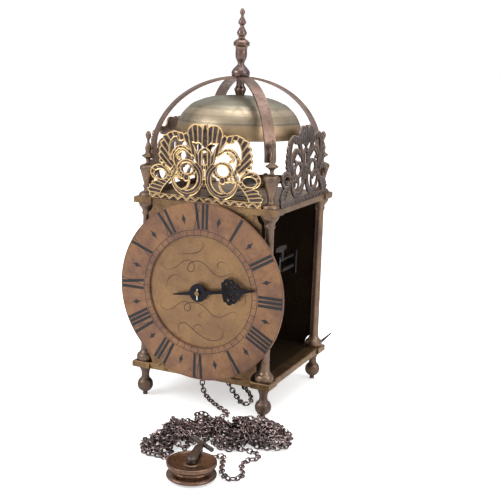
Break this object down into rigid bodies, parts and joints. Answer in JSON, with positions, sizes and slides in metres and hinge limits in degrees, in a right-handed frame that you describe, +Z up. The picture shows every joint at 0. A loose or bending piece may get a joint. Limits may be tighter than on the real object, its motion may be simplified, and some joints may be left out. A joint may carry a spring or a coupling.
{
  "type": "lantern clock",
  "caption": "Lantern clock with a round dial, single hour hand, pierced frets under a strapped bell, verge movement, striking train and an endless winding chain with its pulley.",
  "frame": {"origin": "centre of the box at the level the feet stand on; the case's own axis lies 19 mm in front of it", "axes": "+Z up, dial faces -Y, +X to the right of someone who faces the dial"},
  "size_m": [0.214, 0.357, 0.385],
  "materials": {
    "frame_brass": "aged reddish brass, polished",
    "plate_brass": "golden brass, scratched",
    "fret_brass": "dark patinated brass",
    "dial_brass": "silvered brass, worn warm",
    "centre_brass": "engraved brass, dark",
    "bell_metal": "bell metal, brown patina",
    "wheel_brass": "tarnished brass wheels",
    "pulley_brass": "turned brass, coppery groove",
    "iron": "dark forged iron",
    "steel_dark": "dull dark steel",
    "chain_steel": "dark steel wire links",
    "pin_steel": "bright steel pin",
    "lead": "brass-cased lead bob"
  },
  "bodies": {
    "frame": {"bottom_plate": "plate_brass", "top_plate": "plate_brass", "pillar_front_left": "frame_brass", "pillar_front_right": "frame_brass", "pillar_rear_left": "frame_brass", "pillar_rear_right": "frame_brass", "foot_front_left": "frame_brass", "foot_front_right": "frame_brass", "foot_rear_left": "frame_brass", "foot_rear_right": "frame_brass", "finial_front_left": "frame_brass", "finial_front_right": "frame_brass", "finial_rear_left": "frame_brass", "finial_rear_right": "frame_brass", "front_plate": "plate_brass", "back_plate": "plate_brass", "chapter_ring": "dial_brass", "dial_centre": "centre_brass", "bell": "bell_metal", "bell_straps": "frame_brass", "bell_spacer": "frame_brass", "bell_nut": "iron", "top_finial": "frame_brass", "fret_front": "fret_brass", "fret_left": "fret_brass", "fret_right": "fret_brass", "plate_screws": "steel_dark", "hanging_hoop": "iron", "wall_spurs": "iron", "front_bar": "wheel_brass", "middle_bar": "iron", "rear_bar": "iron", "crown_potence": "wheel_brass", "verge_back_cock": "wheel_brass", "hammer_stop": "steel_dark", "going_chain": "chain_steel", "strike_chain": "chain_steel", "chain_pile_left": "chain_steel", "chain_pile_right": "chain_steel", "chain_floor_loop": "chain_steel", "pulley_stirrup": "iron"},
    "hand": {"hour_hand": "iron"},
    "hour": {"hour_wheel": "wheel_brass", "hand_pin": "pin_steel"},
    "great": {"going_great_wheel": "wheel_brass"},
    "second": {"going_second_wheel": "wheel_brass"},
    "contrate": {"contrate_wheel": "wheel_brass"},
    "crown": {"crown_wheel": "wheel_brass"},
    "pendulum": {"verge": "steel_dark", "pendulum_rod": "steel_dark", "pendulum_bob": "lead"},
    "strike_great": {"strike_great_wheel": "wheel_brass"},
    "locking": {"locking_wheel": "wheel_brass"},
    "fly": {"fly": "wheel_brass"},
    "count": {"count_wheel": "wheel_brass"},
    "hammer": {"hammer": "steel_dark"},
    "locking_detent": {"locking_detent": "steel_dark"},
    "lifting_detent": {"lifting_detent": "steel_dark"},
    "pulley": {"pulley": "pulley_brass"}
  },
  "joints": [
    {"name": "contrate_spin", "type": "hinge", "parent": "frame", "child": "contrate", "pos_m": [0, -0.038, 0.1568], "axis": [0, 1, 0], "continuous": true},
    {"name": "second_spin", "type": "hinge", "parent": "frame", "child": "second", "pos_m": [0, -0.052, 0.1256], "axis": [0, 1, 0], "continuous": true},
    {"name": "great_spin", "type": "hinge", "parent": "frame", "child": "great", "pos_m": [0, -0.068, 0.0851], "axis": [0, 1, 0], "continuous": true},
    {"name": "hour_spin", "type": "hinge", "parent": "frame", "child": "hour", "pos_m": [0, -0.085, 0.1175], "axis": [0, 1, 0], "continuous": true},
    {"name": "crown_spin", "type": "hinge", "parent": "frame", "child": "crown", "pos_m": [0, -0.045, 0.19], "axis": [0, 0, 1], "continuous": true},
    {"name": "hand_setting", "type": "hinge", "parent": "hour", "child": "hand", "pos_m": [0, -0.099, 0.1175], "axis": [0, 1, 0], "continuous": true},
    {"name": "pendulum_swing", "type": "hinge", "parent": "frame", "child": "pendulum", "pos_m": [0, 0.063, 0.2065], "axis": [0, 1, 0], "range_deg": [-15, 15]},
    {"name": "locking_spin", "type": "hinge", "parent": "frame", "child": "locking", "pos_m": [0, -0.016, 0.1185], "axis": [0, 1, 0], "continuous": true},
    {"name": "strike_great_spin", "type": "hinge", "parent": "frame", "child": "strike_great", "pos_m": [0, 0, 0.078], "axis": [0, 1, 0], "continuous": true},
    {"name": "fly_spin", "type": "hinge", "parent": "frame", "child": "fly", "pos_m": [0, 0, 0.1497], "axis": [0, 1, 0], "continuous": true},
    {"name": "count_spin", "type": "hinge", "parent": "frame", "child": "count", "pos_m": [0, 0.023, 0.105], "axis": [0, 1, 0], "continuous": true},
    {"name": "hammer_lift", "type": "hinge", "parent": "frame", "child": "hammer", "pos_m": [-0.05, -0.006, 0.135], "axis": [0, 1, 0], "range_deg": [0, 6], "stiffness_Nm_per_rad": 0.12, "springref_deg": -5.73},
    {"name": "locking_detent_lift", "type": "hinge", "parent": "frame", "child": "locking_detent", "pos_m": [0.05, -0.014, 0.1405], "axis": [0, 1, 0], "range_deg": [0, 5]},
    {"name": "lifting_detent_lift", "type": "hinge", "parent": "frame", "child": "lifting_detent", "pos_m": [0.05, -0.014, 0.1295], "axis": [0, 1, 0], "range_deg": [0, 5]},
    {"name": "pulley_spin", "type": "hinge", "parent": "frame", "child": "pulley", "pos_m": [0.068, -0.234, 0.0087], "axis": [0, 0, 1], "continuous": true}
  ],
  "couplings": [
    {"joint": "second_spin", "follows": "contrate_spin", "ratio": -0.14286},
    {"joint": "great_spin", "follows": "contrate_spin", "ratio": 0.017857},
    {"joint": "hour_spin", "follows": "contrate_spin", "ratio": -0.0022321},
    {"joint": "crown_spin", "follows": "contrate_spin", "ratio": -6},
    {"joint": "strike_great_spin", "follows": "locking_spin", "ratio": -0.125},
    {"joint": "fly_spin", "follows": "locking_spin", "ratio": -7},
    {"joint": "count_spin", "follows": "locking_spin", "ratio": 0.019231}
  ]
}
